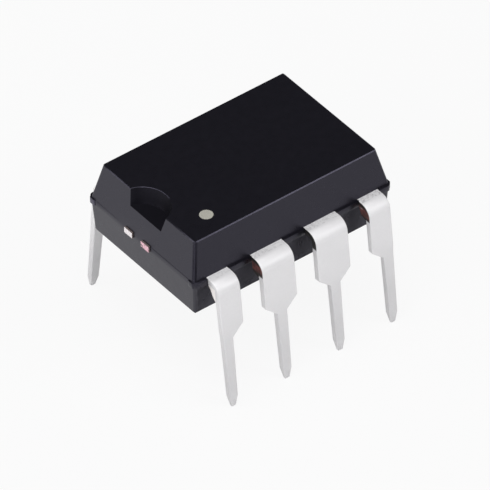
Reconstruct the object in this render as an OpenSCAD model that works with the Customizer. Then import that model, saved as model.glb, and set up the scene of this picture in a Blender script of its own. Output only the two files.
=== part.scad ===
// Eight-lead dual in-line package: a moulded body round a copper lead frame with a bonded silicon die.
// X runs along the body, with the notched end at -X. Z = 0 is the plane of the lead tips.
// Leads 1 to 4 run along the -Y side from the notched end, and leads 5 to 8 run back along the +Y side.

/* [Moulded body] */
// Height of the top face above the lead tips
overall_h = 7.3; // [6.9:0.05:7.8]
// Length of the lower half at its rim
body_l = 9.29; // [8.9:0.01:10]
// Width of the lower half at its rim
body_w = 6.43; // [6:0.01:6.6]
// Depth of the upper half, from the top face to the parting plane
upper_h = 1.61; // [1.5:0.01:1.9]
// Depth of the lower half, from the parting plane to the underside
lower_h = 1.59; // [1.3:0.01:1.8]
// Draft of the upper half's walls, in degrees
upper_draft = 12; // [5:0.5:14]
// Draft of the lower half's walls, in degrees
lower_draft = 3.5; // [3:0.5:8]
// How far the upper half's rim lies inside the lower half's
rim_step = 0.01; // [0.01:0.01:0.08]
// Radius of the body's upright corners
corner_r = 0.15; // [0.08:0.01:0.25]
// Bevel round the top and bottom faces
edge_break = 0.04; // [0.02:0.01:0.08]

/* [Parting line] */
// Reach of the flash between the leads, past the lower rim
side_flash = 0.115; // [0.04:0.005:0.2]
// Radius of the flash's corners
flash_r = 0.2; // [0.1:0.01:0.3]
// Drop of the parting line on the end walls below the top of the lead frame
end_drop = 0; // [0:0.01:0.2]
// Reach of the vent tabs at the corners, past the end walls
vent_reach = 0.05; // [0.02:0.005:0.1]
// Width of a vent tab
vent_w = 0.34; // [0.2:0.01:0.6]

/* [Notch, dot and ejector marks] */
// Radius of the notch at the top face
notch_r = 1.14; // [0.8:0.01:1.3]
// Depth of the notch
notch_depth = 0.68; // [0.3:0.01:0.9]
// Distance of the notch's centre inside the rim
notch_setback = 0.03; // [0:0.005:0.2]
// Draft of the notch's wall, in degrees
notch_draft = 15; // [5:0.5:20]
// Diameter of the dot beside lead 1
dot_d = 0.54; // [0.4:0.01:0.8]
// Thickness of the dot
dot_t = 0.03; // [0.02:0.005:0.05]
// Distance of the dot's centre from the rim at the notched end
dot_from_end = 1.655; // [1.5:0.005:2.4]
// Distance of the dot's centre from the rim along leads 1 to 4
dot_from_side = 1.36; // [1.2:0.005:1.8]
// Diameter of the two ejector marks in the underside
ejector_d = 1.5; // [1:0.1:2]
// Depth of the ejector marks
ejector_depth = 0.06; // [0.03:0.01:0.12]
// Distance between the ejector marks' centres
ejector_span = 5.2; // [4:0.1:6]

/* [Leads] */
// Pitch of the leads
pitch = 2.54; // [2.5:0.01:2.58]
// Thickness of the lead frame
frame_t = 0.26; // [0.2:0.01:0.3]
// Width across the outer faces of the two rows, just under the bends
row_w = 7.98; // [7.9:0.01:8.3]
// Inner radius of the bends
bend_r = 0.225; // [0.15:0.005:0.3]
// Outward splay of the legs, in degrees
splay = 5.8; // [0:0.1:8]
// Half width of a lead's shoulder
shoulder_half = 0.75; // [0.6:0.01:0.8]
// Half width of an end lead's shoulder on the side towards the body's end
end_half = 0.26; // [0.26:0.01:0.36]
// Half width of a leg below its shoulder
leg_half = 0.23; // [0.19:0.005:0.26]
// Half width of a leg where its point begins
leg_low_half = 0.19; // [0.17:0.005:0.22]
// Half width of a leg at its tip
tip_half = 0.1; // [0.06:0.005:0.15]
// Height of the foot of the shoulder above the lead tips
shoulder_foot = 3.15; // [2.9:0.01:3.4]
// Height over which the shoulder tapers to the leg
shoulder_taper = 0.46; // [0.3:0.01:0.5]
// Height of a leg's point
point_h = 0.48; // [0.2:0.01:0.5]
// Thickness of a leg at its tip
tip_t = 0.13; // [0.08:0.01:0.18]

/* [Lead frame inside the body] */
// Length of the die paddle
paddle_l = 3.4; // [3:0.1:3.8]
// Width of the die paddle
paddle_w = 2.3; // [2.24:0.02:2.4]
// Width of a tie bar
tie_w = 0.48; // [0.4:0.01:0.52]
// Place of the tie bar near the middle, across the body
tie_mid_y = -0.27; // [-0.34:0.01:0]
// Place of the tie bar at the paddle's edge, across the body
tie_edge_y = 0.76; // [0.7:0.01:0.88]
// Reach of the cut tie bars past the end walls
tie_stub = 0.07; // [0.02:0.005:0.1]
// Gap between the paddle and the leads' inner ends
finger_gap = 0.3; // [0.25:0.01:0.4]
// Width of a lead's inner end
finger_w = 0.5; // [0.4:0.02:0.6]
// Length of the straight bonding pad at a lead's inner end
finger_flat = 0.3; // [0.26:0.02:0.4]
// Length of the wide part of each lead inside the body
finger_root = 0.45; // [0.3:0.05:0.6]
// Distance between the inner ends of the two leads nearest the middle of a row
finger_mid = 1.5; // [1.3:0.1:1.7]
// Distance between the inner ends of the two outer leads of a row
finger_outer = 3.7; // [3.4:0.1:3.9]

/* [Die and bond wires] */
// Length of the die
die_l = 1.9; // [1.6:0.05:2.4]
// Width of the die
die_w = 1.4; // [1.2:0.05:1.7]
// Thickness of the die
die_t = 0.28; // [0.2:0.01:0.35]
// Thickness of the die-attach layer
attach_t = 0.03; // [0.02:0.005:0.05]
// Margin of the die-attach layer round the die
attach_margin = 0.06; // [0.03:0.01:0.1]
// Diameter of a bond wire
wire_d = 0.03; // [0.025:0.001:0.04]
// Diameter of the ball at a wire's start on the die and of the stitch at its end on the lead
bond_d = 0.085; // [0.07:0.005:0.1]
// Height of the ball and of the stitch
bond_h = 0.04; // [0.035:0.001:0.05]
// Radius of a wire's loop as a share of its span
loop_ratio = 0.6; // [0.55:0.01:0.8]
// Distance of the bonding pads from the die's edge
pad_margin = 0.12; // [0.08:0.01:0.2]
// Distance of a stitch from the lead's inner end
stitch_inset = 0.16; // [0.1:0.01:0.2]

/* [Hidden] */
$fn = 64;
SIDE_LEADS = 4;
LEADS = 2 * SIDE_LEADS;

// Overlap that carries a cut or a joined shape clearly past the face that it meets
over = 1;

// Heights
z_part = overall_h - upper_h;
z_under = z_part - lower_h;
z_frame = z_part - frame_t;
z_die = z_part + attach_t;
z_pad = z_die + die_t;

// Body outlines at the parting plane and at the underside of the lead frame
upper_l = body_l - 2 * rim_step;
upper_w = body_w - 2 * rim_step;
flash_w = body_w + 2 * side_flash;
notch_x = -(body_l / 2 - notch_setback);
dot_x = -(body_l / 2 - dot_from_end);
dot_y = -(body_w / 2 - dot_from_side);

// Bend of the leads, on the +Y side
outer_r = bend_r + frame_t;
bend_y = row_w / 2 - outer_r * cos(splay);
bend_z = z_part - outer_r;

// Inner ends of the leads, and where the straight part inside the body stops
finger_y = paddle_w / 2 + finger_gap;
root_y = upper_w / 2 - finger_root;

// The walls lean in with height by the draft, and so does each upright corner, along the body's diagonal
function corner_lean(draft) = atan(sqrt(2) * tan(draft));
// Half of the angle between two neighbouring walls, measured inside the moulding
function half_corner(draft) = (180 - acos(pow(sin(draft), 2))) / 2;

// Place of a lead along its row: leads 5 to 8 run towards -X
function row_x(n) = ((SIDE_LEADS - 1) / 2 - (n - 1) % SIDE_LEADS) * pitch;
// Leads 1 to 4 are leads 5 to 8 turned half round the body's centre
function turn(n) = n <= SIDE_LEADS ? 180 : 0;
// The outermost leads of a row have their wide shoulder only on the side away from the body's end
function is_outer(n) = abs(row_x(n)) > pitch;
function left_half(n) = row_x(n) < -pitch ? end_half : shoulder_half;
function right_half(n) = row_x(n) > pitch ? end_half : shoulder_half;
// Place of a lead's inner end
function tip_x(n) = sign(row_x(n)) * (is_outer(n) ? finger_outer : finger_mid) / 2;
// Place of a lead's bonding pad on the die, in step with the lead's inner end
function pad_x(n) = tip_x(n) / finger_outer * (die_l - 2 * pad_margin);

// Cross-section of a drafted half from its rim at z = 0 to its face at z = depth, with bevelled edges
module half_section(width, depth, draft) {
    rim = width / 2;
    shoulder = rim - (depth - edge_break) * tan(draft);
    face = shoulder - edge_break;
    polygon([
        [-rim, 0], [rim, 0], [shoulder, depth - edge_break],
        [face, depth], [-face, depth], [-shoulder, depth - edge_break],
    ]);
}

// Cuts one upright corner down to its radius, along an edge that leans in with the walls
module corner_cut(depth, draft) {
    half = half_corner(draft);
    flat = corner_r / tan(half);
    rotate([0, -corner_lean(draft), 0])
        translate([0, 0, -over / 2])
            linear_extrude(depth + over)
                difference() {
                    polygon([
                        [-flat * cos(half), -flat * sin(half)],
                        [corner_r, 0],
                        [-flat * cos(half), flat * sin(half)],
                    ]);
                    translate([-corner_r / sin(half), 0]) circle(corner_r);
                }
}

// One half of the moulding, standing on its rim
module drafted_half(length, width, depth, draft) {
    difference() {
        intersection() {
            rotate([90, 0, 0]) translate([0, 0, -width / 2 - over])
                linear_extrude(width + 2 * over) half_section(length, depth, draft);
            rotate([90, 0, 90]) translate([0, 0, -length / 2 - over])
                linear_extrude(length + 2 * over) half_section(width, depth, draft);
        }
        for (corner = [[1, 1, 45], [-1, 1, 135], [-1, -1, 225], [1, -1, 315]])
            translate([corner[0] * length / 2, corner[1] * width / 2, 0])
                rotate([0, 0, corner[2]]) corner_cut(depth, draft);
    }
}

// Flat plate with round corners, centred on the axis
module round_plate(length, width, thickness, radius) {
    translate([-length / 2 + radius, -width / 2, 0]) cube([length - 2 * radius, width, thickness]);
    translate([-length / 2, -width / 2 + radius, 0]) cube([length, width - 2 * radius, thickness]);
    for (x = [-1, 1], y = [-1, 1])
        translate([x * (length / 2 - radius), y * (width / 2 - radius), 0])
            cylinder(r = radius, h = thickness);
}

// Resin in the lead frame's thickness: flash along both sides, the end walls' parting line and the vent tabs
module parting_flash() {
    translate([0, 0, z_frame]) {
        round_plate(upper_l, flash_w, frame_t, flash_r);
        round_plate(body_l, flash_w, frame_t - end_drop, flash_r);
        for (y = [-1, 1])
            translate([0, y * (body_w / 2 - vent_w / 2), 0])
                round_plate(body_l + 2 * vent_reach, vent_w, frame_t, vent_w / 4);
    }
}

// Half-round notch that marks the end with leads 1 and 8
module notch() {
    slope = tan(notch_draft);
    translate([notch_x, 0, overall_h - notch_depth])
        cylinder(r1 = notch_r - notch_depth * slope, r2 = notch_r + over * slope, h = notch_depth + over);
}

module ejector_marks() {
    for (x = [-1, 1])
        translate([x * ejector_span / 2, 0, z_under - over])
            cylinder(d = ejector_d, h = over + ejector_depth);
}

module moulded_body() {
    color([0.11, 0.11, 0.12])
        difference() {
            union() {
                translate([0, 0, z_part]) drafted_half(upper_l, upper_w, upper_h, upper_draft);
                translate([0, 0, z_frame]) mirror([0, 0, 1])
                    drafted_half(body_l, body_w, lower_h - frame_t, lower_draft);
                parting_flash();
            }
            notch();
            ejector_marks();
            for (n = [1 : LEADS]) lead(n);
            die_paddle();
            die_attach();
            silicon_die();
            for (n = [1 : LEADS]) bond_wire(n);
            pin_one_dot();
        }
}

// Flat inner part of a lead, which runs on into the straight part outside the root
module finger(n) {
    left = row_x(n) - left_half(n);
    right = row_x(n) + right_half(n);
    inside_y = (root_y + bend_y) / 2;
    translate([0, 0, z_frame])
        linear_extrude(frame_t)
            polygon([
                [left, inside_y], [left, root_y],
                [tip_x(n) - finger_w / 2, finger_y + finger_flat], [tip_x(n) - finger_w / 2, finger_y],
                [tip_x(n) + finger_w / 2, finger_y], [tip_x(n) + finger_w / 2, finger_y + finger_flat],
                [right, root_y], [right, inside_y],
            ]);
}

// Everything under one skin of a lead seen from the side: out of the body, round the bend and down the leg
module under_skin(radius, point_y, tip_y) {
    polygon([
        [root_y - over, bend_z + radius], [bend_y, bend_z + radius],
        [bend_y + radius * cos(splay), bend_z + radius * sin(splay)],
        [point_y, point_h], [tip_y, 0], [tip_y, -over], [root_y - over, -over],
    ]);
    translate([bend_y, bend_z]) circle(radius);
}

// A lead seen from the side, between its outer and inner skins: it splays outwards and thins to a blunt tip
module lead_side() {
    slope = tan(splay);
    leg_y = bend_y + outer_r * cos(splay);
    leg_z = bend_z + outer_r * sin(splay);
    point_y = leg_y + (leg_z - point_h) * slope;
    tip_y = leg_y + leg_z * slope;
    across = frame_t / cos(splay);
    thin = (across - tip_t) / 2;
    difference() {
        under_skin(outer_r, point_y, tip_y - thin);
        under_skin(bend_r, point_y - across, tip_y - across + thin);
    }
}

// A lead seen from the front: a wide shoulder that tapers to a thin leg with a point
module lead_front(n) {
    top = z_part + over;
    taper_top = shoulder_foot + shoulder_taper;
    polygon([
        [-left_half(n), top], [-left_half(n), taper_top],
        [-leg_half, shoulder_foot], [-leg_low_half, point_h], [-tip_half, 0],
        [tip_half, 0], [leg_low_half, point_h], [leg_half, shoulder_foot],
        [right_half(n), taper_top], [right_half(n), top],
    ]);
}

// Formed part of a lead, from its root in the body to its tip
module formed(n) {
    translate([row_x(n), 0, 0])
        intersection() {
            rotate([90, 0, 90]) translate([0, 0, -shoulder_half - over])
                linear_extrude(2 * (shoulder_half + over)) lead_side();
            rotate([90, 0, 0]) translate([0, 0, -row_w])
                linear_extrude(row_w - root_y) lead_front(n);
        }
}

module lead(n) {
    color([0.82, 0.82, 0.83])
        rotate([0, 0, turn(n)]) {
            finger(n);
            formed(n);
        }
}

// Paddle under the die, held from both ends by tie bars that are cut off just outside the body
module die_paddle() {
    tie_l = body_l + 2 * tie_stub;
    color([0.72, 0.45, 0.3])
        translate([0, 0, z_frame]) {
            translate([-paddle_l / 2, -paddle_w / 2, 0]) cube([paddle_l, paddle_w, frame_t]);
            for (y = [tie_mid_y, tie_edge_y])
                translate([-tie_l / 2, y - tie_w / 2, 0]) cube([tie_l, tie_w, frame_t]);
        }
}

module die_attach() {
    length = die_l + 2 * attach_margin;
    width = die_w + 2 * attach_margin;
    color([0.6, 0.6, 0.62])
        translate([-length / 2, -width / 2, z_part]) cube([length, width, attach_t]);
}

module silicon_die() {
    color([0.3, 0.32, 0.4])
        translate([-die_l / 2, -die_w / 2, z_die]) cube([die_l, die_w, die_t]);
}

// Wire from a ball on the die's pad, in one round loop, down to a stitch on the lead's inner end
module bond_wire(n) {
    pad = [pad_x(n), die_w / 2 - pad_margin, z_pad];
    stitch = [tip_x(n), finger_y + stitch_inset, z_part];
    run = norm([stitch[0] - pad[0], stitch[1] - pad[1]]);
    fall = pad[2] - stitch[2];
    span = norm([run, fall]);
    loop_r = loop_ratio * span;
    half_turn = asin(span / 2 / loop_r);
    color([0.9, 0.72, 0.3])
        rotate([0, 0, turn(n)]) {
            translate(pad) cylinder(d = bond_d, h = bond_h);
            translate(stitch) cylinder(d = bond_d, h = bond_h);
            translate([pad[0], pad[1], pad[2] + bond_h / 2])
                rotate([0, 0, atan2(stitch[1] - pad[1], stitch[0] - pad[0])])
                    rotate([90, atan2(fall, run), 0])
                        translate([span / 2, -loop_r * cos(half_turn), 0])
                            rotate([0, 0, 90 - half_turn])
                                rotate_extrude(angle = 2 * half_turn)
                                    translate([loop_r, 0]) circle(d = wire_d, $fn = 24);
        }
}

// Round mark beside lead 1, flush with the top face
module pin_one_dot() {
    color([0.64, 0.64, 0.6])
        translate([dot_x, dot_y, overall_h - dot_t]) cylinder(d = dot_d, h = dot_t);
}

moulded_body();
for (n = [1 : LEADS]) lead(n);
die_paddle();
die_attach();
silicon_die();
for (n = [1 : LEADS]) bond_wire(n);
pin_one_dot();
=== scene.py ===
import math

import bmesh
import bpy
from mathutils import Matrix, Vector
from mathutils.bvhtree import BVHTree


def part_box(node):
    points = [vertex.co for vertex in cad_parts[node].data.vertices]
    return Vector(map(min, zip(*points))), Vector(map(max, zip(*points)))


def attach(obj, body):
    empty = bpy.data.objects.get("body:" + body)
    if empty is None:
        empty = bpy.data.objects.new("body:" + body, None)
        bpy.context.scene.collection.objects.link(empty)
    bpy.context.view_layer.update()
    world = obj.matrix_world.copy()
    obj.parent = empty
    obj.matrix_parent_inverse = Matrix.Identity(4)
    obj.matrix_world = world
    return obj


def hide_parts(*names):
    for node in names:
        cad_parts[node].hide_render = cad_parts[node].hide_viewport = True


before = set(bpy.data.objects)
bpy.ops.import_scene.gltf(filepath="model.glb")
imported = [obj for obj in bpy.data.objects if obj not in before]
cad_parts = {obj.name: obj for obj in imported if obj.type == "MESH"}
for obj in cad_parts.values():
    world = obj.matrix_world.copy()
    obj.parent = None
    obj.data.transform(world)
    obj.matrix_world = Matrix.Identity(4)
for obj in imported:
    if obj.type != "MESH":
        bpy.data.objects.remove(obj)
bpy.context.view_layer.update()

bl_info = {
    "name": "Dual in-line package",
    "version": (1, 0, 0),
    "blender": (4, 5, 0),
    "location": "3D View > Sidebar > Package",
    "description": "Finishes the CAD model of an eight-lead dual in-line package and lights it",
    "category": "Object",
}

BODY = "root"
MM = 0.001
LEADS = 8
# Vertices closer than this are one vertex
MERGE = 1e-7
# A face of the moulding this close to a piece inside it belongs to that piece's pocket
TOUCH = 0.004 * MM

# Heights and places of the CAD model that a finish is aimed at
FRAME_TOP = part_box("die_paddle")[1].z
FRAME_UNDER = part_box("die_paddle")[0].z
FLASH_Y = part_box("moulded_body")[1].y
BODY_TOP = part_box("moulded_body")[1].z
# Distance of the notch's axis from the middle of the body, and greatest distance of its wall from that axis
NOTCH_X = 4.615 * MM
NOTCH_WALL = 1.13 * MM
# Arc of the notch's rim that gets a painted highlight, in degrees from +X about the notch's axis
PAINTED_HIGHLIGHT_ARC = (-16.0, 52.0)
# Angles in degrees above which an edge of the moulding, and of a lead, counts as sharp
BODY_SHARP = 25
LEAD_SHARP = 14

# For each lead: shares of resin left on its cut flanks, of copper showing through it, and of scraped plate
FLANKS = {
    1: (0.0, 0.0, 0.3), 2: (1.0, 1.0, 0.45), 3: (1.0, 0.0, 0.5), 4: (1.0, 1.0, 0.8),
    5: (0.4, 0.5, 0.5), 6: (0.9, 0.6, 0.4), 7: (0.6, 0.3, 0.6), 8: (0.0, 0.0, 0.2),
}
# Lower outline of the resin web left in a bend, from the body to the leg, as pairs in millimetres of the
# distance from the middle plane and the height above the tips
WEBS = {
    1: ((3.36, 5.38), (3.48, 5.25), (3.58, 5.06), (3.76, 4.83)),
    2: ((3.36, 5.3), (3.38, 5.14), (3.46, 5.05), (3.62, 4.97), (3.78, 4.93)),
    4: ((3.38, 5.36), (3.44, 5.2), (3.5, 5.12), (3.64, 5.06), (3.79, 5.02)),
    6: ((3.36, 5.34), (3.42, 5.2), (3.54, 5.08), (3.78, 4.96)),
    7: ((3.4, 5.38), (3.5, 5.22), (3.6, 5.14), (3.78, 5.05)),
}
# The corners that close a web's outline inside the lead: height at the body, height at the leg, and the bend
WEB_BODY_TOP = 5.44
WEB_LEG_TOP = 5.25
WEB_BEND = (3.66, 5.44)

# Square soft lights: name, place, width, and the stage setting that holds the power
LAMPS = (
    ("key_light", (-0.05, -0.03, 0.3), 0.26, "key"),
    ("edge_light", (0.16, -0.245, 0.19), 0.15, "edge"),
    ("left_light", (-0.25, -0.13, 0.17), 0.22, "fill"),
    ("back_light", (-0.29, 0.15, 0.12), 0.17, "back"),
)
# Point that every light faces
LIT_POINT = (0.0, 0.0, 0.004)
# Place of the picture's centre from the middle of the top face, along the picture's width and height
CENTRE_RIGHT = 0.2082 * MM
CENTRE_UP = -3.312 * MM
# Span of y - x over which the mirrored floor grows lighter from the long side towards the notched end:
# painted shade in front of the long side and painted light towards the notched end, which only reflections
# show
MIRRORED_SPAN = (-6.0 * MM, 26.0 * MM)
MIRRORED_BRIGHT = 1.05


def length(name, description, default, low, high):
    return bpy.props.FloatProperty(
        name=name, description=description, default=default, min=low, max=high,
        precision=6, subtype="DISTANCE", unit="LENGTH",
    )


def share(name, description, default, high=1.0):
    return bpy.props.FloatProperty(
        name=name, description=description, default=default, min=0.0, max=high, subtype="FACTOR",
    )


def colour(name, description, default):
    return bpy.props.FloatVectorProperty(
        name=name, description=description, default=default, min=0.0, max=1.0, size=3, subtype="COLOR",
    )


def power(name, description, default):
    return bpy.props.FloatProperty(
        name=name, description=description, default=default, min=0.0, unit="POWER",
    )


def turn_angle(name, description, degrees):
    return bpy.props.FloatProperty(
        name=name, description=description, default=math.radians(degrees), subtype="ANGLE",
        unit="ROTATION",
    )


class MouldingFinish(bpy.types.PropertyGroup):
    edge: length("Edge radius", "Rounding of the moulding's edges", 0.014 * MM, 0.005 * MM, 0.02 * MM)
    rim: length("Rim chamfer", "Width of the chamfer on the notch's rim", 0.048 * MM, 0.005 * MM, 0.06 * MM)
    compound: colour("Compound", "Colour of the moulding compound", (0.004, 0.0038, 0.0052))
    sheen: share("Roughness", "Roughness of the moulded faces", 0.3)
    grain: length("Grain", "Depth of the mould's spark-eroded grain", 0.0016 * MM, 0.0, 0.01 * MM)


class LeadFinish(bpy.types.PropertyGroup):
    edge: length("Edge radius", "Rounding of the plated edges", 0.042 * MM, 0.005 * MM, 0.06 * MM)
    tin: colour("Tin", "Colour of the tin plate", (0.83, 0.822, 0.83))
    # Painted light: a lighter copy of the tin, laid over the insides of the bends where no resin covers them
    bright: colour("Bright tin", "Colour of the fresh tin inside a clean bend", (0.96, 0.92, 0.9))
    # Colour that darkens the legs towards the tips, and paints shade on the near row's flanks
    darkening_and_shade: colour("Dull tin", "Colour that dulls the legs and the near row's flanks", (0.1, 0.098, 0.1))
    scraped: colour("Scraped plate", "Colour of the scraped band at the moulding", (0.25, 0.24, 0.25))
    copper: colour("Copper", "Colour of the copper smeared in the resin", (0.15, 0.05, 0.045))
    residue: colour("Residue", "Colour of the resin left on the cut flanks", (0.016, 0.014, 0.014))
    web: length("Web", "Thickness of the resin web left in a bend", 0.06 * MM, 0.02 * MM, 0.2 * MM)
    lean: length("Lean", "How far the far row leans in at the bend", 0.16 * MM, 0.0, 0.3 * MM)
    roughness: share("Roughness", "Roughness of the tin plate", 0.5)
    metal: share("Metal", "Share of mirror-like metal in the satin plate", 0.18)


class InsideFinish(bpy.types.PropertyGroup):
    copper: colour("Copper", "Colour of the lead frame's copper", (0.62, 0.3, 0.2))
    cut_pink: colour("Fresh cut", "Colour of the tie bar's fresh cut", (0.78, 0.47, 0.54))
    cut_tin: colour("Smeared tin", "Colour of the tin smeared over a tie bar's cut", (0.84, 0.79, 0.8))
    dull: colour("Dull copper", "Colour of the tie bars' skin beside the cut", (0.17, 0.135, 0.13))
    epoxy: colour("Die attach", "Colour of the silver-filled epoxy", (0.5, 0.5, 0.51))
    silicon: colour("Silicon", "Colour of the die", (0.12, 0.13, 0.18))
    gold: colour("Gold", "Colour of the bond wires", (0.9, 0.62, 0.22))


class DotFinish(bpy.types.PropertyGroup):
    ink: colour("Ink", "Colour of the mark beside lead 1", (0.4, 0.392, 0.34))


class StageSettings(bpy.types.PropertyGroup):
    floor: colour("Floor", "Colour of the floor", (0.956, 0.956, 0.956))
    sky: colour("Sky", "Colour of the studio above the floor", (0.1, 0.1, 0.11))
    shadow: share("Shadow", "Share of the real shadow that the floor keeps", 0.06)
    # Painted shade in the floor's reflections in front of the long side
    falloff: share("Falloff", "How much darker the floor is mirrored in front of the long side", 0.15)
    key: power("Key light", "Power of the big overhead light", 0.61)
    edge: power("Edge light", "Power of the light that the near top edge catches", 0.32)
    fill: power("Fill light", "Power of the light at the left", 0.34)
    back: power("Back light", "Power of the low light behind the notched end", 0.26)
    azimuth: turn_angle(
        "Azimuth", "Turn of the camera from the -Y side, towards -X below zero", -36.9525)
    elevation: turn_angle("Elevation", "Height of the camera above the horizon", 41.0743)
    roll: turn_angle("Roll", "Turn of the camera about its line of sight", -1.0167)
    distance: length("Distance", "Distance of the camera from its target", 0.3687, 0.1, 2.0)
    lens: bpy.props.FloatProperty(
        name="Lens", description="Focal length in millimetres", default=722.1, min=50.0,
    )


# Node trees

def add(tree, kind, **settings):
    made = tree.nodes.new(kind)
    for key, value in settings.items():
        setattr(made, key, value)
    return made


def feed(tree, socket, value):
    """Links an output to a socket, or sets the socket to a value."""
    if isinstance(value, bpy.types.NodeSocket):
        tree.links.new(value, socket)
    elif value is not None:
        socket.default_value = value


def sums(tree, operation, a, b=None, c=None, clamp=False):
    made = add(tree, "ShaderNodeMath", operation=operation, use_clamp=clamp)
    for socket, value in zip(made.inputs, (a, b, c)):
        feed(tree, socket, value)
    return made.outputs[0]


def product(tree, first, *others):
    for other in others:
        first = sums(tree, "MULTIPLY", first, other)
    return first


def parts(tree, vector):
    """The x, y and z of a vector."""
    split = add(tree, "ShaderNodeSeparateXYZ")
    feed(tree, split.inputs[0], vector)
    return split.outputs


def blend_colour(tree, factor, a, b):
    made = add(tree, "ShaderNodeMix", data_type="RGBA")
    feed(tree, made.inputs["Factor"], factor)
    sockets = [s for s in made.inputs if s.type == "RGBA"]
    feed(tree, sockets[0], opaque(a))
    feed(tree, sockets[1], opaque(b))
    return next(s for s in made.outputs if s.type == "RGBA")


def opaque(value):
    if isinstance(value, bpy.types.NodeSocket):
        return value
    return (*value[:3], 1.0)


def ramp(tree, factor, low, high, low_value=0.0, high_value=1.0):
    """Smooth step from low_value to high_value as the factor goes from low to high."""
    made = add(tree, "ShaderNodeMapRange", interpolation_type="SMOOTHSTEP")
    for name, value in (("Value", factor), ("From Min", low), ("From Max", high),
                        ("To Min", low_value), ("To Max", high_value)):
        feed(tree, made.inputs[name], value)
    return made.outputs["Result"]


def noise(tree, vector, scale, detail=2.0, roughness=0.5):
    made = add(tree, "ShaderNodeTexNoise")
    feed(tree, made.inputs["Vector"], vector)
    feed(tree, made.inputs["Scale"], scale)
    feed(tree, made.inputs["Detail"], detail)
    feed(tree, made.inputs["Roughness"], roughness)
    return made.outputs["Fac"]


def group(name, inputs, outputs):
    """New shader node group with named float, vector or colour sockets."""
    tree = bpy.data.node_groups.new(name, "ShaderNodeTree")
    for label, kind, default in inputs:
        made = tree.interface.new_socket(name=label, in_out="INPUT", socket_type=kind)
        if default is not None:
            made.default_value = default
    for label, kind in outputs:
        tree.interface.new_socket(name=label, in_out="OUTPUT", socket_type=kind)
    return tree, add(tree, "NodeGroupInput"), add(tree, "NodeGroupOutput")


def grain_group():
    """Fine all-over grain: a value from 0 to 1 and a normal, from a broad and a fine noise."""
    name = "fine_grain"
    if name in bpy.data.node_groups:
        return bpy.data.node_groups[name]
    tree, given, out = group(
        name,
        [("Scale", "NodeSocketFloat", 20000.0), ("Depth", "NodeSocketFloat", 1e-6)],
        [("Value", "NodeSocketFloat"), ("Normal", "NodeSocketVector")],
    )
    place = add(tree, "ShaderNodeTexCoord").outputs["Object"]
    fine = noise(tree, place, given.outputs["Scale"], 3.0, 0.6)
    broad = noise(tree, place, product(tree, given.outputs["Scale"], 0.12), 2.0, 0.5)
    both = sums(tree, "MULTIPLY_ADD", broad, 0.5, product(tree, fine, 0.5))
    bump = add(tree, "ShaderNodeBump")
    feed(tree, bump.inputs["Height"], both)
    feed(tree, bump.inputs["Distance"], given.outputs["Depth"])
    feed(tree, out.inputs["Value"], both)
    feed(tree, out.inputs["Normal"], bump.outputs["Normal"])
    return tree


def patches_group():
    """Mask of ragged patches that cover a given share of the surface."""
    name = "ragged_patches"
    if name in bpy.data.node_groups:
        return bpy.data.node_groups[name]
    tree, given, out = group(
        name,
        [("Scale", "NodeSocketFloat", 4000.0), ("Cover", "NodeSocketFloat", 0.5),
         ("Softness", "NodeSocketFloat", 0.1)],
        [("Mask", "NodeSocketFloat")],
    )
    place = add(tree, "ShaderNodeTexCoord").outputs["Object"]
    spread = noise(tree, place, given.outputs["Scale"], 4.0, 0.6)
    edge = ramp(tree, given.outputs["Cover"], 0.0, 1.0, 0.72, 0.28)
    mask = ramp(
        tree, spread, sums(tree, "SUBTRACT", edge, given.outputs["Softness"]),
        sums(tree, "ADD", edge, given.outputs["Softness"]),
    )
    some = ramp(tree, given.outputs["Cover"], 0.0, 0.05)
    feed(tree, out.inputs["Mask"], product(tree, mask, some))
    return tree


def band_group():
    """Mask of the band between two values of a coordinate, with soft edges."""
    name = "soft_band"
    if name in bpy.data.node_groups:
        return bpy.data.node_groups[name]
    tree, given, out = group(
        name,
        [("Value", "NodeSocketFloat", 0.0), ("Low", "NodeSocketFloat", 0.0),
         ("High", "NodeSocketFloat", 1.0), ("Softness", "NodeSocketFloat", 0.1)],
        [("Mask", "NodeSocketFloat")],
    )
    value, low, high, soft = (given.outputs[s] for s in ("Value", "Low", "High", "Softness"))
    above = ramp(tree, value, sums(tree, "SUBTRACT", low, soft), low)
    below = ramp(tree, value, high, sums(tree, "ADD", high, soft), 1.0, 0.0)
    feed(tree, out.inputs["Mask"], product(tree, above, below))
    return tree


def band(tree, value, low, high, softness):
    return use(tree, band_group(), Value=value, Low=low, High=high, Softness=softness)["Mask"]


def patches(tree, scale, cover, softness):
    return use(tree, patches_group(), Scale=scale, Cover=cover, Softness=softness)["Mask"]


def use(tree, made_group, **values):
    """Places a group in a tree, with its inputs by name, and returns its outputs."""
    placed = add(tree, "ShaderNodeGroup", node_tree=made_group)
    for key, value in values.items():
        feed(tree, placed.inputs[key], value)
    return placed.outputs


def material(name):
    """New material with a Principled shader. Returns the material, its tree and the shader's inputs."""
    made = bpy.data.materials.new(name)
    made.use_nodes = True
    shader = next(n for n in made.node_tree.nodes if n.type == "BSDF_PRINCIPLED")
    return made, made.node_tree, shader.inputs


def shades(base, dark, light):
    """A darker and a lighter shade of a colour."""
    return [dark * c for c in base], [min(1.0, light * c) for c in base]


def grain_roughness(tree, grain, low, high):
    """Roughness that varies with the grain."""
    return ramp(tree, grain["Value"], 0.2, 0.8, low, high)


def grained(tree, shader, grain, colours, low, high):
    """Gives a shader a colour and a roughness that vary with the grain, and the grain's relief."""
    feed(tree, shader["Base Color"], blend_colour(tree, grain["Value"], *colours))
    feed(tree, shader["Roughness"], grain_roughness(tree, grain, low, high))
    feed(tree, shader["Normal"], grain["Normal"])


def paint(piece, made):
    piece.data.materials.clear()
    piece.data.materials.append(made)


# Meshes

def whole_copy(node):
    """Bmesh of a CAD node, with its loose triangles joined."""
    bm = bmesh.new()
    bm.from_mesh(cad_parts[node].data)
    bmesh.ops.remove_doubles(bm, verts=bm.verts[:], dist=MERGE)
    return bm


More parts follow.
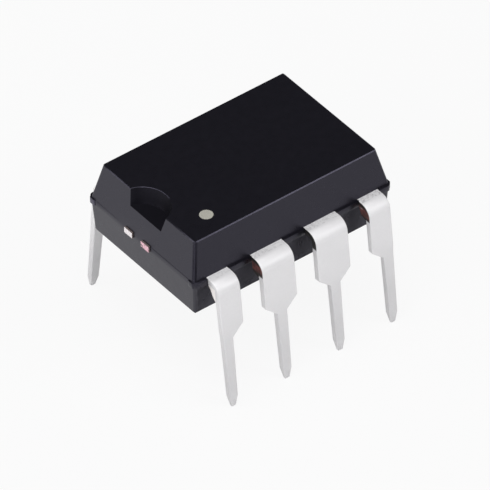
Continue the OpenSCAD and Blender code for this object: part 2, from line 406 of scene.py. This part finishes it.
def join_flats(bm):
    """Turns the triangles of each flat face into one face."""
    bmesh.ops.dissolve_limit(
        bm, angle_limit=math.radians(0.4), verts=bm.verts[:], edges=bm.edges[:],
        use_dissolve_boundaries=False,
    )


def sharp_edges(bm, degrees):
    return [
        e for e in bm.edges
        if len(e.link_faces) == 2 and e.calc_face_angle() > math.radians(degrees)
    ]


def round_off(bm, edges, radius, segments=3):
    bmesh.ops.bevel(
        bm, geom=edges, offset=radius, offset_type="OFFSET", segments=segments, profile=0.5,
        affect="EDGES", clamp_overlap=True, material=-1, loop_slide=True,
    )


def piece_from(bm, name, stands_for):
    """New piece in the CAD frame from a finished bmesh, in place of its CAD nodes."""
    mesh = bpy.data.meshes.new(name)
    bm.to_mesh(mesh)
    bm.free()
    piece = bpy.data.objects.new(name, mesh)
    bpy.context.scene.collection.objects.link(piece)
    mesh.shade_smooth()
    mesh.set_sharp_from_angle(angle=math.radians(32))
    weighted = piece.modifiers.new("even_shading", "WEIGHTED_NORMAL")
    weighted.keep_sharp = True
    weighted.weight = 100
    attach(piece, BODY)
    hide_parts(*stands_for)
    return piece


class MouldBody(bpy.types.Operator):
    """Finish the moulded body: its outside without the pockets, with rounded edges and matt compound"""
    bl_idname = "package.mould_body"
    bl_label = "Moulded body"

    def execute(self, context):
        finish = context.scene.package_moulding
        bm = whole_copy("moulded_body")
        self.close_pockets(bm)
        self.close_ledge(bm)
        join_flats(bm)
        round_off(bm, self.rim_edges(bm), finish.rim, 1)
        round_off(bm, self.flash_edges(bm), 0.6 * finish.rim, 1)
        round_off(bm, self.outer_edges(bm), finish.edge, 2)
        self.mark_faces(bm)
        piece = piece_from(bm, "moulding", ["moulded_body"])
        for compound in (
                self.compound(finish, "moulding_compound", roughness=finish.sheen, gloss=0.55),
                self.compound(finish, "notch_compound", roughness=0.5, gloss=0.2),
                # The third compound is lightened to paint a highlight on the notch's rim and light on one
                # vent that lies in shade
                self.compound(finish, "worn_edge", roughness=0.45, gloss=0.6, painted_lightening=13.0)):
            piece.data.materials.append(compound)
        return {"FINISHED"}

    def close_pockets(self, bm):
        """Removes the pockets that the lead frame, die and wires fill, and closes their mouths."""
        inside = bmesh.new()
        for name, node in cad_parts.items():
            if name not in ("moulded_body", "pin_one_dot"):
                inside.from_mesh(node.data)
        filled = BVHTree.FromBMesh(inside)
        inside.free()
        pockets = [
            f for f in bm.faces
            if filled.find_nearest(f.calc_center_median(), TOUCH)[0] is not None
        ]
        bmesh.ops.delete(bm, geom=pockets, context="FACES")
        mouths = [e for e in bm.edges if e.is_boundary]
        bmesh.ops.holes_fill(bm, edges=mouths, sides=0)

    def close_ledge(self, bm):
        """Closes the hair-thin ledge in the notched end's parting line, beyond the middle tie bar."""
        ledge = [
            v for v in bm.verts
            if abs(v.co.z - FRAME_TOP) < MERGE and v.co.x < -4.5 * MM and -0.1 * MM < v.co.y < 3.3 * MM
        ]
        widest = 0.012 * MM
        bmesh.ops.remove_doubles(bm, verts=ledge, dist=widest)

    def notch_distance(self, place):
        """Distance of a place from the notch's axis, which stands at the notched end."""
        return math.hypot(place.x + NOTCH_X, place.y)

    def rim_edges(self, bm):
        """Edges of the notch's rim in the top face."""
        def on_rim(v):
            return BODY_TOP - v.co.z < MERGE and 1.0 * MM < self.notch_distance(v.co) < 1.3 * MM

        return [e for e in sharp_edges(bm, BODY_SHARP) if all(on_rim(v) for v in e.verts)]

    def flash_edges(self, bm):
        """Top outer edges of the flash between the leads."""
        def on_flash(v):
            return abs(v.co.z - FRAME_TOP) < MERGE and abs(abs(v.co.y) - FLASH_Y) < MERGE

        return [e for e in sharp_edges(bm, BODY_SHARP) if all(on_flash(v) for v in e.verts)]

    def mark_faces(self, bm):
        """Gives the notch's inside the second material, and the third, lightened compound to an arc of its
        rim as a painted highlight and to one vent as painted light.
        """
        for f in bm.faces:
            middle = f.calc_center_median()
            radius = self.notch_distance(middle)
            angle = math.degrees(math.atan2(middle.y, middle.x + NOTCH_X))
            below_top = BODY_TOP - middle.z
            on_vent = (
                middle.x < -4.61 * MM and middle.y > 2.9 * MM and abs(middle.z - FRAME_TOP) < 0.4 * MM)
            on_rim = (
                1.1 * MM < radius < 1.24 * MM and 0.1 < f.normal.z < 0.95 and below_top < 0.06 * MM
                and PAINTED_HIGHLIGHT_ARC[0] < angle < PAINTED_HIGHLIGHT_ARC[1])
            # Painted highlight on this arc of the rim, and painted light on the vent, which lies in shade
            if on_vent or on_rim:
                f.material_index = 2
            if radius < NOTCH_WALL and 0.06 * MM < below_top < 0.7 * MM and f.normal.x > -0.972:
                f.material_index = 1

    def outer_edges(self, bm):
        """Sharp edges of the outside, without the shallow seat of the dot."""
        low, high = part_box("pin_one_dot")
        margin = 0.02 * MM

        def on_dot(v):
            return all(low[i] - margin < v.co[i] < high[i] + margin for i in range(3))

        return [e for e in sharp_edges(bm, BODY_SHARP) if not all(on_dot(v) for v in e.verts)]

    def compound(self, finish, name, roughness, gloss, painted_lightening=1.0):
        """Moulding compound, its colour lighter by the given factor, which paints a highlight on the notch's
        rim and light on one vent that lies in shade.
        """
        made, tree, shader = material(name)
        grain = use(tree, grain_group(), Scale=26000.0, Depth=finish.grain)
        grained(tree, shader, grain, shades(finish.compound, 0.86 * painted_lightening, 1.16 * painted_lightening),
                roughness - 0.05, roughness + 0.05)
        feed(tree, shader["IOR"], 1.5)
        feed(tree, shader["Specular IOR Level"], gloss)
        feed(tree, shader["Specular Tint"], (0.78, 0.745, 1.0, 1.0))
        return made


class FormLeads(bpy.types.Operator):
    """Finish the eight leads: rounded plated edges, satin tin, and bare copper on the cut flanks"""
    bl_idname = "package.form_leads"
    bl_label = "Leads"

    def execute(self, context):
        finish = context.scene.package_leads
        plate = self.plate(finish)
        for n in range(1, LEADS + 1):
            bm = whole_copy(f"lead_{n}")
            join_flats(bm)
            outside = [
                e for e in sharp_edges(bm, LEAD_SHARP)
                if max(abs(v.co.y) for v in e.verts) > FLASH_Y - 0.3 * MM
            ]
            round_off(bm, outside, finish.edge, 3)
            if n in WEBS:
                self.leave_web(bm, n, finish.web)
            if n > LEADS / 2:
                self.lean_in(bm, finish.lean)
            piece = piece_from(bm, f"formed_lead_{n}", [f"lead_{n}"])
            for label, value in zip(("resin", "copper", "scraped"), FLANKS[n]):
                shares = piece.data.attributes.new(label, "FLOAT", "POINT")
                shares.data.foreach_set("value", [value] * len(piece.data.vertices))
            paint(piece, plate)
        return {"FINISHED"}

    def leave_web(self, bm, n, thickness):
        """Adds the thin web that the cut dam bar left in the bend, at the flank towards the notch."""
        side = -1.0 if n <= LEADS / 2 else 1.0
        inset = 0.003 * MM
        x = min(v.co.x for v in bm.verts if abs(v.co.y) > FLASH_Y) + inset
        inner, leg = WEBS[n][0][0], WEBS[n][-1][0]
        outline = [(inner - 0.01, WEB_BODY_TOP), *WEBS[n], (leg, WEB_LEG_TOP), WEB_BEND]
        near = [bm.verts.new((x, side * y * MM, z * MM)) for y, z in outline]
        far = [bm.verts.new((x + thickness, side * y * MM, z * MM)) for y, z in outline]
        faces = [bm.faces.new(near), bm.faces.new(far[::-1])]
        for i in range(len(outline)):
            j = (i + 1) % len(outline)
            faces.append(bm.faces.new((near[j], near[i], far[i], far[j])))
        bmesh.ops.recalc_face_normals(bm, faces=faces)

    def lean_in(self, bm, lean):
        """Leans a lead of the far row inwards above its tip."""
        for v in bm.verts:
            if v.co.y > FLASH_Y + 0.01 * MM:
                v.co.y -= lean * v.co.z / FRAME_UNDER

    def plate(self, finish):
        made, tree, shader = material("tinned_copper")
        coordinates = add(tree, "ShaderNodeTexCoord")
        y, z = parts(tree, coordinates.outputs["Object"])[1:]
        facing = parts(tree, coordinates.outputs["Normal"])
        away = sums(tree, "ABSOLUTE", y)
        flank = ramp(tree, sums(tree, "ABSOLUTE", facing[0]), 0.75, 0.95)
        resin_share, copper_share, scrape_share = (
            add(tree, "ShaderNodeAttribute", attribute_name=label).outputs["Fac"]
            for label in ("resin", "copper", "scraped"))

        # Resin on the cut flanks and the webs, and copper smeared over the flanks' resin
        cut = product(tree, flank, band(
            tree, z, FRAME_UNDER - 0.36 * MM, FRAME_TOP + 0.1 * MM, 0.06 * MM))
        web = product(
            tree,
            band(tree, away, FLASH_Y, FLASH_Y + 0.42 * MM, 0.02 * MM),
            band(tree, z, FRAME_UNDER - 0.6 * MM, FRAME_UNDER - 0.01 * MM, 0.01 * MM))
        resin = product(tree, sums(tree, "MAXIMUM", cut, web), resin_share)
        smear = product(
            tree,
            band(tree, z, FRAME_UNDER - 0.2 * MM, FRAME_UNDER + 0.02 * MM, 0.12 * MM),
            patches(tree, 5200.0, 0.62, 0.22))
        bare = product(tree, flank, copper_share, smear)

        # Rough scraped band on the top face, where the plating meets the moulding
        root = band(tree, away, FLASH_Y - 0.2 * MM, FLASH_Y + 0.13 * MM, 0.08 * MM)
        specks = product(tree, root, patches(tree, 11000.0, 0.45, 0.08), scrape_share)
        scraped_band = product(tree, root, scrape_share)

        # Legs darker towards the tips, and painted shade on the near row's flanks, which see less of the
        # light
        leg = ramp(tree, z, 1.0 * MM, 4.9 * MM, 0.2, 0.03)
        near_flank_shade = product(tree, flank, ramp(tree, y, -1.0 * MM, 1.0 * MM, 0.13, 0.0))

        grain = use(tree, grain_group(), Scale=9000.0, Depth=0.0022 * MM)
        tin = blend_colour(tree, grain["Value"], *shades(finish.tin, 0.93, 1.06))
        for mask, over in (
                (leg, finish.darkening_and_shade),
                (near_flank_shade, finish.darkening_and_shade),
                # Painted light over the insides of the bends; the resin is laid over it further down
                (web, finish.bright),
                (product(tree, scraped_band, 0.08), finish.scraped),
                (product(tree, specks, 0.55), finish.scraped),
                (resin, finish.residue),
                (bare, finish.copper)):
            tin = blend_colour(tree, mask, tin, over)
        clean = sums(tree, "SUBTRACT", 1.0, resin)
        rough = grain_roughness(tree, grain, finish.roughness - 0.07, finish.roughness + 0.07)
        feed(tree, shader["Base Color"], tin)
        feed(tree, shader["Metallic"], product(tree, finish.metal, clean))
        feed(tree, shader["Roughness"], sums(tree, "MULTIPLY_ADD", specks, 0.15, rough))
        feed(tree, shader["Normal"], grain["Normal"])
        return made


class CutTieBars(bpy.types.Operator):
    """Finish the die paddle and the cut ends of its tie bars"""
    bl_idname = "package.cut_tie_bars"
    bl_label = "Die paddle"

    def execute(self, context):
        finish = context.scene.package_inside
        made, tree, shader = material("bare_copper")
        coordinates = add(tree, "ShaderNodeTexCoord")
        x, y = parts(tree, coordinates.outputs["Object"])[:2]
        facing = parts(tree, coordinates.outputs["Normal"])
        grain = use(tree, grain_group(), Scale=14000.0, Depth=0.002 * MM)
        # The middle bar's cut is fresh and ragged, with dull corners, and the other bar's is smeared
        other_bar = ramp(tree, y, 0.2 * MM, 0.4 * MM)
        fresh = blend_colour(tree, other_bar, finish.cut_pink, finish.cut_tin)
        ragged = patches(tree, 7000.0, ramp(tree, other_bar, 0.0, 1.0, 0.62, 0.94), 0.06)
        end_face = ramp(tree, sums(tree, "ABSOLUTE", facing[0]), 0.6, 0.9)
        face = blend_colour(tree, product(tree, ragged, end_face), finish.dull, fresh)
        outside = ramp(tree, sums(tree, "ABSOLUTE", x), 4.5 * MM, 4.6 * MM)
        feed(tree, shader["Base Color"], blend_colour(tree, outside, finish.copper, face))
        feed(tree, shader["Metallic"], ramp(tree, outside, 0.0, 1.0, 1.0, 0.2))
        feed(tree, shader["Roughness"], grain_roughness(tree, grain, 0.4, 0.6))
        feed(tree, shader["Normal"], grain["Normal"])
        paint(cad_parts["die_paddle"], made)
        return {"FINISHED"}


class BondDie(bpy.types.Operator):
    """Finish the die, its epoxy and the bond wires"""
    bl_idname = "package.bond_die"
    bl_label = "Die and wires"

    def execute(self, context):
        finish = context.scene.package_inside
        epoxy = self.plain(
            "silver_epoxy", finish.epoxy, metallic=0.3, roughness=0.55, scale=30000.0, depth=0.002 * MM)
        silicon = self.plain(
            "silicon", finish.silicon, metallic=0.2, roughness=0.15, scale=3000.0, depth=0.0002 * MM)
        gold = self.plain(
            "gold_wire", finish.gold, metallic=1.0, roughness=0.25, scale=40000.0, depth=0.0005 * MM)
        paint(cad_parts["die_attach"], epoxy)
        paint(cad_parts["silicon_die"], silicon)
        for n in range(1, LEADS + 1):
            paint(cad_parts[f"bond_wire_{n}"], gold)
        return {"FINISHED"}

    def plain(self, name, base, metallic, roughness, scale, depth):
        """Finish that varies only by its grain."""
        made, tree, shader = material(name)
        grain = use(tree, grain_group(), Scale=scale, Depth=depth)
        grained(tree, shader, grain, shades(base, 0.85, 1.1), roughness, roughness + 0.1)
        feed(tree, shader["Metallic"], metallic)
        return made


class MarkLeadOne(bpy.types.Operator):
    """Finish the pale dot beside lead 1"""
    bl_idname = "package.mark_lead_one"
    bl_label = "Dot"

    def execute(self, context):
        finish = context.scene.package_dot
        made, tree, shader = material("marking_ink")
        grain = use(tree, grain_group(), Scale=16000.0, Depth=0.0015 * MM)
        grained(tree, shader, grain, shades(finish.ink, 0.9, 1.1), 0.55, 0.75)
        paint(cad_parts["pin_one_dot"], made)
        return {"FINISHED"}


class SetStage(bpy.types.Operator):
    """Set the floor, the soft studio light and the camera"""
    bl_idname = "package.set_stage"
    bl_label = "Stage"

    def execute(self, context):
        stage = context.scene.package_stage
        self.lay_floor(stage)
        self.paint_sky(context.scene, stage)
        for name, place, width, setting in LAMPS:
            self.lamp(name, place, width, getattr(stage, setting))
        self.place_camera(context.scene, stage)
        context.scene.view_settings.view_transform = "Standard"
        return {"FINISHED"}

    def lay_floor(self, stage):
        """Matt floor. The camera sees it even and pale with a trace of shadow, and mirrors see it graded,
        with painted shade in front of the long side and painted light towards the notched end.
        """
        bm = bmesh.new()
        bmesh.ops.create_grid(bm, x_segments=1, y_segments=1, size=3.0)
        mesh = bpy.data.meshes.new("floor")
        bm.to_mesh(mesh)
        bm.free()
        floor = bpy.data.objects.new("floor", mesh)
        bpy.context.scene.collection.objects.link(floor)
        made, tree, shader = material("pale_floor")
        feed(tree, shader["Base Color"], opaque(stage.floor))
        feed(tree, shader["Roughness"], 0.9)
        feed(tree, shader["Specular IOR Level"], 0.0)
        glow = add(tree, "ShaderNodeEmission")
        feed(tree, glow.inputs["Color"], opaque(stage.floor))
        path = add(tree, "ShaderNodeLightPath").outputs
        x, y = parts(tree, add(tree, "ShaderNodeTexCoord").outputs["Object"])[:2]
        # Painted shade and light in the floor as mirrors see it: darker in front of the long side, lighter
        # towards the notched end
        mirrored = ramp(
            tree, sums(tree, "SUBTRACT", y, x), *MIRRORED_SPAN, 1.0 - stage.falloff, MIRRORED_BRIGHT)
        # Makes up for the lit share of the floor, which is darker than white
        white = 1.0 + 0.15 * stage.shadow
        feed(tree, glow.inputs["Strength"], sums(
            tree, "MULTIPLY_ADD", path["Is Camera Ray"], sums(tree, "SUBTRACT", white, mirrored), mirrored))
        seen = sums(tree, "ADD", path["Is Camera Ray"], sums(
            tree, "ADD", path["Is Glossy Ray"], path["Is Transmission Ray"]), clamp=True)
        mix = add(tree, "ShaderNodeMixShader")
        feed(tree, mix.inputs[0], product(tree, seen, 1.0 - stage.shadow))
        out = next(n for n in tree.nodes if n.type == "OUTPUT_MATERIAL")
        feed(tree, mix.inputs[1], out.inputs["Surface"].links[0].from_socket)
        feed(tree, mix.inputs[2], glow.outputs[0])
        feed(tree, out.inputs["Surface"], mix.outputs[0])
        paint(floor, made)

    def paint_sky(self, scene, stage):
        """Dark studio, which the glossy top face mirrors. The camera sees the floor's colour instead."""
        world = bpy.data.worlds.new("studio")
        world.use_nodes = True
        scene.world = world
        tree = world.node_tree
        back = next(n for n in tree.nodes if n.type == "BACKGROUND")
        path = add(tree, "ShaderNodeLightPath").outputs
        feed(tree, back.inputs["Color"], blend_colour(tree, path["Is Camera Ray"], stage.sky, stage.floor))
        feed(tree, back.inputs["Strength"], 1.0)

    def lamp(self, name, place, width, watts):
        light = bpy.data.lights.new(name, "AREA")
        light.shape = "SQUARE"
        light.size = width
        light.energy = watts
        made = bpy.data.objects.new(name, light)
        bpy.context.scene.collection.objects.link(made)
        made.location = place
        aim = Vector(LIT_POINT) - Vector(place)
        made.rotation_mode = "QUATERNION"
        made.rotation_quaternion = aim.to_track_quat("-Z", "Y")

    def place_camera(self, scene, stage):
        """Camera of the photograph, which looks at the place of the picture's centre."""
        a, e = stage.azimuth, stage.elevation
        right = Vector((math.cos(a), math.sin(a), 0.0))
        back = Vector((math.sin(a) * math.cos(e), -math.cos(a) * math.cos(e), math.sin(e)))
        up = back.cross(right)
        turn = Matrix.Rotation(stage.roll, 3, back)
        right, up = turn @ right, turn @ up
        target = Vector((0.0, 0.0, BODY_TOP)) + right * CENTRE_RIGHT + up * CENTRE_UP
        data = bpy.data.cameras.new("camera")
        data.sensor_fit = "HORIZONTAL"
        data.sensor_width = 36.0
        data.lens = stage.lens
        data.clip_start = 0.01
        data.clip_end = 10.0
        camera = bpy.data.objects.new("camera", data)
        scene.collection.objects.link(camera)
        camera.matrix_world = Matrix.Translation(target + back * stage.distance) @ Matrix(
            (right, up, back)).transposed().to_4x4()
        scene.camera = camera


SETTINGS = {
    "package_moulding": MouldingFinish,
    "package_leads": LeadFinish,
    "package_inside": InsideFinish,
    "package_dot": DotFinish,
    "package_stage": StageSettings,
}
OPERATORS = (MouldBody, FormLeads, CutTieBars, BondDie, MarkLeadOne, SetStage)


class PackagePanel(bpy.types.Panel):
    """Lists the finishes and the stage"""
    bl_idname = "VIEW3D_PT_package"
    bl_label = "Package"
    bl_space_type = "VIEW_3D"
    bl_region_type = "UI"
    bl_category = "Package"

    def draw(self, context):
        for operator in OPERATORS:
            self.layout.operator(operator.bl_idname)
        for key, kind in SETTINGS.items():
            box = self.layout.box()
            for name in kind.__annotations__:
                box.prop(getattr(context.scene, key), name)


def register():
    for kind in (*SETTINGS.values(), *OPERATORS, PackagePanel):
        bpy.utils.register_class(kind)
    for key, kind in SETTINGS.items():
        setattr(bpy.types.Scene, key, bpy.props.PointerProperty(type=kind))


def unregister():
    for key in SETTINGS:
        delattr(bpy.types.Scene, key)
    for kind in (PackagePanel, *reversed(OPERATORS), *reversed(list(SETTINGS.values()))):
        bpy.utils.unregister_class(kind)


def main():
    register()
    bpy.ops.package.mould_body()
    bpy.ops.package.form_leads()
    bpy.ops.package.cut_tie_bars()
    bpy.ops.package.bond_die()
    bpy.ops.package.mark_lead_one()
    bpy.ops.package.set_stage()


if __name__ == "__main__":
    main()
